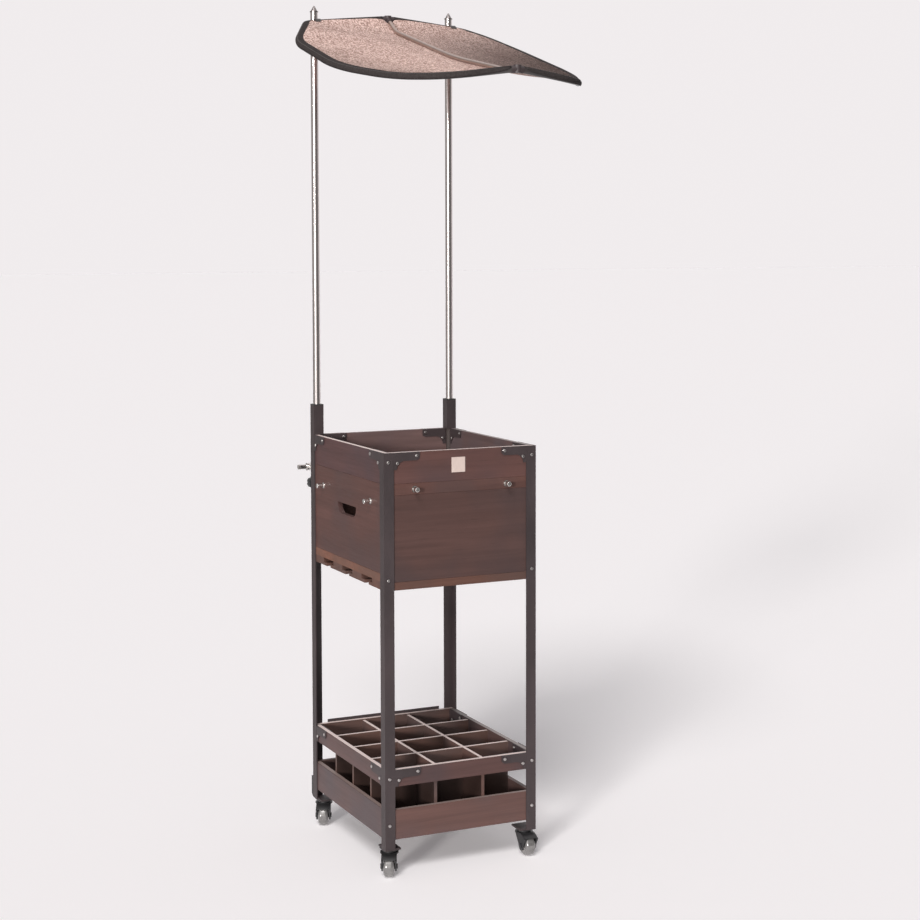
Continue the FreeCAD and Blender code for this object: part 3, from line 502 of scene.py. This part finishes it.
def tread_finish():
    """Grey wheel with a glossy skin and faint wear."""
    look = Finish("wheel_grey")
    wear = look.cloud(look.place(even(90.0)), detail=4.0, rough=0.65)
    tint = look.ramp(wear, [(0.3, (0.185, 0.178, 0.174)), (0.7, (0.270, 0.262, 0.257))])
    return look.finish(Base_Color=tint, Metallic=0.5, Roughness=0.12 + wear * 0.12, Coat_Weight=0.5,
                       Coat_Roughness=0.04, Normal=look.bump(wear, strength=0.05, distance=0.0003))


def caster_wheels():
    """A round-edged tyre and a dished hub on every wheel."""
    tread = tread_finish()
    half = WHEEL_HALF_WIDTH
    inner = HUB_RADIUS + TYRE_GAP
    middle = WHEEL_RADIUS - SHOULDER
    tyre_profile = [(inner, -half)]
    tyre_profile += soft_corner((middle, -half + SHOULDER), SHOULDER, -90.0, 0.0, SHOULDER_STEPS)
    tyre_profile += soft_corner((middle, half - SHOULDER), SHOULDER, 0.0, 90.0, SHOULDER_STEPS)
    tyre_profile.append((inner, half))
    hub_profile = HUB_FACE + [(radius, -y) for radius, y in reversed(HUB_FACE)]
    for corner, (x, y, angle) in CASTERS.items():
        place = (Matrix.Translation((x, y + CART_MIDDLE_Y, WHEEL_RADIUS))
                 @ Matrix.Rotation(math.radians(angle), 4, "Z") @ Matrix.Translation((TRAIL, 0.0, 0.0)))
        tyre = turned("tyre_" + corner, tyre_profile, TYRE_SIDES, place, tread)
        hub = turned("hub_" + corner, hub_profile, HUB_SIDES, place, chrome)
        for wheel_piece in (tyre, hub):
            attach(wheel_piece, "wheel_" + corner)
        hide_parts("caster_wheel_" + corner)


caster_wheels()


# Canopy: the hoop's and the rib's lines as in the frame, from the tilt axis forwards and down

REAR_SWEEP = 0.0762
REAR_FALL = 0.0912
REAR_HALF_WIDTH = 0.2150
HOOP_CORNERS = [
    (0.2498, 0.0690, 0.0280),
    (0.2984, 0.1601, 0.0687),
    (0.3033, 0.4327, 0.1498),
    (0.2333, 0.5997, 0.1826),
    (0.1598, 0.7246, 0.1896),
]
HOOP_BENDS = [0.218, 0.43, 0.43, 0.43, 0.43, 0.43]
TIP = (0.7472, 0.1688)
RIB_CORNERS = [(0.068, 0.021), (0.420, 0.116), (0.690, 0.166)]
RIB_BENDS = [0.242, 0.22, 0.293]


def canopy_point(x, reach, drop):
    return TILT + Vector((x, -reach, -drop))


REAR_MIDDLE = canopy_point(0.0, POLE_X * REAR_SWEEP, -POLE_X * REAR_FALL)
FRONT_TIP = canopy_point(0.0, *TIP)
PAST_POLE = REAR_HALF_WIDTH - POLE_X
HOOP_POINTS = [REAR_MIDDLE, canopy_point(REAR_HALF_WIDTH, -PAST_POLE * REAR_SWEEP, PAST_POLE * REAR_FALL)]
HOOP_POINTS += [canopy_point(*corner) for corner in HOOP_CORNERS] + [FRONT_TIP]
RIB_POINTS = [REAR_MIDDLE] + [canopy_point(0.0, *corner) for corner in RIB_CORNERS] + [FRONT_TIP]


ARC_STEP = 0.002
TINY = 1e-9


def bent_line(points, shares):
    """Points along straight runs joined by tangent arcs; each arc takes its share of the shorter run beside
    it."""
    line = [points[0]]
    for before, corner, after, share in zip(points, points[1:], points[2:], shares):
        back = (before - corner).normalized()
        ahead = (after - corner).normalized()
        half = back.angle(ahead) / 2.0
        tangent = share * min((before - corner).length, (after - corner).length)
        bend = tangent * math.tan(half)
        centre = corner + (back + ahead).normalized() * (bend / math.sin(half))
        start = corner + back * tangent - centre
        end = corner + ahead * tangent - centre
        turn = start.angle(end)
        count = max(2, int(bend * turn / ARC_STEP))
        for k in range(count + 1):
            part = k / count
            spoke = start * math.sin((1.0 - part) * turn) + end * math.sin(part * turn)
            line.append(centre + spoke / math.sin(turn))
    line.append(points[-1])
    return line


def evenly(line, count):
    """The same line as evenly spaced points, with the direction at each."""
    lengths = [0.0]
    for a, b in zip(line, line[1:]):
        lengths.append(lengths[-1] + (b - a).length)
    spots = []
    k = 0
    for index in range(count):
        want = lengths[-1] * index / (count - 1)
        while k < len(line) - 2 and lengths[k + 1] < want:
            k += 1
        share = (want - lengths[k]) / max(lengths[k + 1] - lengths[k], TINY)
        spots.append((line[k].lerp(line[k + 1], share), (line[k + 1] - line[k]).normalized()))
    return spots


ROWS = 150                      # across the cloth, spread evenly along the hoop and the rib
END_ROWS = 2                    # left out at either end
ROW_PITCH = 0.0052              # from row to row in the weave's UV map
COLUMNS = 40                    # in half a row, from the ridge to the hoop
WRAP = 8                        # and on round the hoop
WRAP_TURN = math.radians(135.0)
CLOTH_THICKNESS = 0.0012
CLEAR = 0.0012                  # from a tube's skin to the middle of the cloth
SEAT = HOOP_RADIUS + CLEAR
SAG = 0.006
FULL_SAG_SPAN = 0.2             # a shorter half row sags less
STITCHES = {"Spacing": 0.0060, "Stitch Length": 0.0042, "Thread Radius": 0.0010}
STITCH_SIDES = 6
STITCH_STEP = WRAP // 4         # where on the wrap the stitches lie
STITCH_END_ROWS = 4             # rows without stitches at either end


def canopy_rows():
    """For each row of the cloth: its number, its ridge under the rib, its points over the hoop and down the
    outside, and how far the tape widens there."""
    hoop = evenly(bent_line(HOOP_POINTS, HOOP_BENDS), ROWS)
    rib = evenly(bent_line(RIB_POINTS, RIB_BENDS), ROWS)
    rows = []
    for row in range(END_ROWS, ROWS - END_ROWS):
        rib_point, rib_run = rib[row]
        hoop_point, hoop_run = hoop[row]
        ridge = rib_point - UP * ((RIB_RADIUS + CLEAR) / Vector((rib_run.x, rib_run.y, 0.0)).length)
        rise = (UP - hoop_run * UP.dot(hoop_run)).normalized()
        out = rise.cross(hoop_run)
        if out.dot(hoop_point - ridge) < 0.0:
            out = -out
        inward = ridge - hoop_point
        aim = math.atan2(inward.dot(rise), inward.dot(out)) % (2.0 * math.pi)
        touch = aim - math.acos(min(1.0, SEAT / math.hypot(inward.dot(rise), inward.dot(out))))
        wrap = []
        for step in range(WRAP + 1):
            angle = touch - WRAP_TURN * step / WRAP
            wrap.append(hoop_point + (out * math.cos(angle) + rise * math.sin(angle)) * SEAT)
        rows.append((row, ridge, wrap, TAPE_SIDE * hoop_run.y ** 2))
    return rows


def cloth_point(ridge, touch, share):
    """A point of the cloth between the ridge and the hoop, with its slack."""
    slack = SAG * min(1.0, (touch - ridge).length / FULL_SAG_SPAN)
    return ridge.lerp(touch, share) - UP * (slack * 4.0 * share * (1.0 - share))


def canopy_sheet(rows):
    """One woven sheet under the rib, out over both sides of the hoop and down round it, and its area."""
    points = []
    uvs = []
    from_hoop = []
    for row, ridge, wrap, tape in rows:
        span = (wrap[0] - ridge).length
        half_row = []
        for column in range(COLUMNS + 1):
            share = column / COLUMNS
            half_row.append((cloth_point(ridge, wrap[0], share), span * share, span * (1.0 - share) - tape))
        for step in range(1, WRAP + 1):
            past = SEAT * WRAP_TURN * step / WRAP
            half_row.append((wrap[step], span + past, -past - tape))
        full = [(Vector((-p.x, p.y, p.z)), -g, d) for p, g, d in reversed(half_row[1:])] + half_row
        for spot, gone, left in full:
            points.append(spot)
            uvs.append((gone, row * ROW_PITCH))
            from_hoop.append(left)
    wide = 2 * (COLUMNS + WRAP) + 1
    faces = []
    for row in range(len(rows) - 1):
        for column in range(wide - 1):
            a = row * wide + column
            faces.append((a, a + 1, a + wide + 1, a + wide))
    sheet = piece_from("canopy_sheet", points, faces, woven_canopy("canopy_weave"))
    outward(sheet)
    layer = sheet.data.uv_layers.new(name="Weave")
    for loop in sheet.data.loops:
        layer.data[loop.index].uv = uvs[loop.vertex_index]
    edge = sheet.data.attributes.new("from_hoop", "FLOAT", "POINT")
    edge.data.foreach_set("value", from_hoop)
    area = sum(p.area for p in sheet.data.polygons)
    shell = sheet.modifiers.new("cloth", "SOLIDIFY")
    shell.thickness = CLOTH_THICKNESS
    shell.offset = 0.0
    return sheet, area


def stitch_row_tree(material):
    """Short thread stitches along a line, set by length, spacing and thickness."""
    tree = bpy.data.node_groups.new("stitch_row", "GeometryNodeTree")
    tree.interface.new_socket("Geometry", in_out="INPUT", socket_type="NodeSocketGeometry")
    for label in STITCHES:
        tree.interface.new_socket(label, in_out="INPUT", socket_type="NodeSocketFloat")
    tree.interface.new_socket("Geometry", in_out="OUTPUT", socket_type="NodeSocketGeometry")

    def add(kind, links, **settings):
        node = tree.nodes.new(kind)
        for key, value in settings.items():
            setattr(node, key, value)
        for key, value in links.items():
            if hasattr(value, "is_linked"):
                tree.links.new(value, node.inputs[key])
            else:
                node.inputs[key].default_value = value
        return node

    given = add("NodeGroupInput", {})
    line = add("GeometryNodeMeshToCurve", {"Mesh": given.outputs["Geometry"]})
    spots = add("GeometryNodeCurveToPoints", {"Curve": line.outputs[0], "Length": given.outputs["Spacing"]},
                mode="LENGTH")
    stitch = add("GeometryNodeMeshCylinder", {"Vertices": STITCH_SIDES,
                                              "Radius": given.outputs["Thread Radius"],
                                              "Depth": given.outputs["Stitch Length"]})
    laid = add("GeometryNodeInstanceOnPoints", {"Points": spots.outputs["Points"],
                                                "Instance": stitch.outputs["Mesh"],
                                                "Rotation": spots.outputs["Rotation"]})
    whole = add("GeometryNodeRealizeInstances", {"Geometry": laid.outputs[0]})
    done = add("GeometryNodeSetMaterial", {"Geometry": whole.outputs[0], "Material": material})
    add("NodeGroupOutput", {"Geometry": done.outputs[0]})
    return tree


def grown(name, seed_points, seed_edges, tree, sizes):
    """Runs a tree on a line and keeps the result as a plain mesh."""
    mesh = bpy.data.meshes.new(name + "_line")
    mesh.from_pydata([tuple(p) for p in seed_points], seed_edges, [])
    source = in_scene(name + "_line", mesh)
    modifier = source.modifiers.new("grow", "NODES")
    modifier.node_group = tree
    for item in tree.interface.items_tree:
        if item.in_out == "INPUT" and item.name in sizes:
            modifier[item.identifier] = sizes[item.name]
    graph = bpy.context.evaluated_depsgraph_get()
    result = bpy.data.meshes.new_from_object(source.evaluated_get(graph))
    result.name = name
    source.modifiers.remove(modifier)
    bpy.data.objects.remove(source)
    return in_scene(name, result)


def binding_stitches(rows):
    """A row of stitches on the binding outside the hoop, on both halves."""
    points = []
    edges = []
    for side in (-1.0, 1.0):
        first = len(points)
        for _, _, wrap, _ in rows[STITCH_END_ROWS:-STITCH_END_ROWS]:
            spot = wrap[STITCH_STEP]
            points.append(Vector((spot.x * side, spot.y, spot.z)))
        edges += [(k, k + 1) for k in range(first, len(points) - 1)]
    thread = moulded("binding_thread", (0.062, 0.054, 0.052), 0.55, 900.0)
    return grown("binding_stitches", points, edges, stitch_row_tree(thread), STITCHES)


cloth_rows = canopy_rows()
canopy, canopy_area = canopy_sheet(cloth_rows)
stitches = binding_stitches(cloth_rows)
for cloth_piece in (canopy, stitches):
    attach(cloth_piece, "canopy")
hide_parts("canopy_fabric")


# Studio

EYE = Vector((-1.84886, -4.21291 + CART_MIDDLE_Y, 1.50129))
YAW, PITCH, ROLL = (math.radians(v) for v in (25.394, 3.749, -0.104))
FOCAL_PX, MIDDLE_X, MIDDLE_Y, IMAGE_PX = 1857.17, 474.64, 362.01, 920.0
SENSOR_MM = 36.0


def photo_camera():
    """The camera that was fitted to the cart's corners."""
    forward = Vector((math.sin(YAW) * math.cos(PITCH), math.cos(YAW) * math.cos(PITCH), -math.sin(PITCH)))
    level = Vector((math.cos(YAW), -math.sin(YAW), 0.0))
    upright = level.cross(forward)
    right = level * math.cos(ROLL) + upright * math.sin(ROLL)
    top = -level * math.sin(ROLL) + upright * math.cos(ROLL)
    lens = bpy.data.cameras.new("photo_camera")
    lens.sensor_width = SENSOR_MM
    lens.sensor_fit = "HORIZONTAL"
    lens.lens = FOCAL_PX * SENSOR_MM / IMAGE_PX
    lens.shift_x = (IMAGE_PX / 2.0 - MIDDLE_X) / IMAGE_PX
    lens.shift_y = (MIDDLE_Y - IMAGE_PX / 2.0) / IMAGE_PX
    camera = in_scene("photo_camera", lens)
    turn = Matrix((right, top, -forward)).transposed().to_4x4()
    camera.matrix_world = Matrix.Translation(EYE) @ turn
    bpy.context.scene.camera = camera


# The key comes low from the front left and the fill from high on the same side; floor and backdrop share
# one level, so no horizon shows
KEY = {"turn": 223.0, "rise": 8.5, "strength": 2.7, "angle": 8.0, "tint": (1.0, 0.975, 0.955)}
FILL = {"turn": 232.0, "rise": 48.0, "strength": 1.75, "angle": 22.0, "tint": (1.0, 0.985, 0.98)}
LAMP_DISTANCE = 5.0
AMBIENT = (0.225, 0.223, 0.230)
PAPER = (0.89, 0.870, 0.875)
GLOW = (0.195, 0.185, 0.188)
SEEN_BY = ("Is Camera Ray", "Is Glossy Ray", "Is Transmission Ray")
FLOOR_HALF = 80.0
# Walls in a ring about the origin, each from one angle to another, with its level
WALLS = {
    "left_wall": (95.0, 182.0, 0.36),
    "bright_wall": (182.0, 248.0, 1.20),
    "right_wall": (248.0, 345.0, 0.20),
}
WALL_RADIUS, WALL_FOOT, WALL_TOP, WALL_STEPS = 2.5, 0.01, 4.0, 16
WALL_CAST = (1.0, 0.97, 0.95)


def backdrop_level():
    """What the floor sends back away from any shadow, under both lamps and the ambient light, and its own
    glow."""
    level = list(AMBIENT)
    for lamp in (KEY, FILL):
        share = lamp["strength"] * math.sin(math.radians(lamp["rise"])) / math.pi
        level = [value + share * tint for value, tint in zip(level, lamp["tint"])]
    return [paper * value + glow for paper, value, glow in zip(PAPER, level, GLOW)]


def dull_paper(name, base, glow):
    """Paper without shine; glow(look) gives its emission."""
    look = Finish(name)
    return look.finish(Base_Color=colour(*base), Roughness=1.0, Specular_IOR_Level=0.0,
                       Emission_Color=glow(look), Emission_Strength=1.0)


def floor_glow(look):
    """The paper's own light, where it is seen directly or in a mirror."""
    path = look.node("ShaderNodeLightPath", {}, {})
    camera, glossy, transmission = (Tone(look, path.outputs[ray]) for ray in SEEN_BY)
    return look.mix(camera + glossy + transmission, colour(*even(0.0)), colour(*GLOW))


def pale_floor():
    half = FLOOR_HALF
    corners = [(-half, -half, 0.0), (half, -half, 0.0), (half, half, 0.0), (-half, half, 0.0)]
    paper = dull_paper("pale_paper", PAPER, floor_glow)
    floor = piece_from("pale_floor", corners, [(0, 1, 2, 3)], paper, False)


def studio_wall(name, start, end, level):
    """A glowing wall that shows in reflections only."""
    paper = dull_paper(name, even(0.0), lambda look: colour(*scaled(WALL_CAST, level)))
    points = []
    for step in range(WALL_STEPS + 1):
        angle = math.radians(start + (end - start) * step / WALL_STEPS)
        x, y = WALL_RADIUS * math.cos(angle), WALL_RADIUS * math.sin(angle)
        points += [(x, y, WALL_FOOT), (x, y, WALL_TOP)]
    faces = [(2 * k, 2 * k + 1, 2 * k + 3, 2 * k + 2) for k in range(WALL_STEPS)]
    wall = piece_from(name, points, faces, paper)
    wall.visible_camera = False
    wall.visible_diffuse = False
    wall.visible_shadow = False


def sun_light(name, setting):
    """A lamp far off, at an angle about the origin and above the floor."""
    lamp = bpy.data.lights.new(name, "SUN")
    lamp.energy = setting["strength"]
    lamp.angle = math.radians(setting["angle"])
    lamp.color = setting["tint"]
    turn, rise = math.radians(setting["turn"]), math.radians(setting["rise"])
    towards = Vector((math.cos(turn) * math.cos(rise), math.sin(turn) * math.cos(rise), math.sin(rise)))
    holder = in_scene(name, lamp)
    holder.location = towards * LAMP_DISTANCE
    holder.rotation_euler = (-towards).to_track_quat("-Z", "Y").to_euler()


def studio_world():
    """Even light on the object; the camera and reflections see a plain pale background."""
    world = bpy.data.worlds.new("studio")
    world.use_nodes = True
    tree = world.node_tree
    tree.nodes.clear()
    path = tree.nodes.new("ShaderNodeLightPath")
    seen = path.outputs[SEEN_BY[0]]
    for ray in SEEN_BY[1:]:
        either = tree.nodes.new("ShaderNodeMath")
        either.operation = "MAXIMUM"
        tree.links.new(seen, either.inputs[0])
        tree.links.new(path.outputs[ray], either.inputs[1])
        seen = either.outputs[0]
    both = tree.nodes.new("ShaderNodeMixShader")
    tree.links.new(seen, both.inputs[0])
    for socket, level in ((1, AMBIENT), (2, backdrop_level())):
        light = tree.nodes.new("ShaderNodeBackground")
        light.inputs["Color"].default_value = colour(*level)
        tree.links.new(light.outputs[0], both.inputs[socket])
    output = tree.nodes.new("ShaderNodeOutputWorld")
    tree.links.new(both.outputs[0], output.inputs["Surface"])
    bpy.context.scene.world = world


photo_camera()
pale_floor()
for wall_name, wall_setting in WALLS.items():
    studio_wall(wall_name, *wall_setting)
studio_world()
sun_light("key", KEY)
sun_light("fill", FILL)
bpy.context.scene.view_settings.view_transform = "Standard"
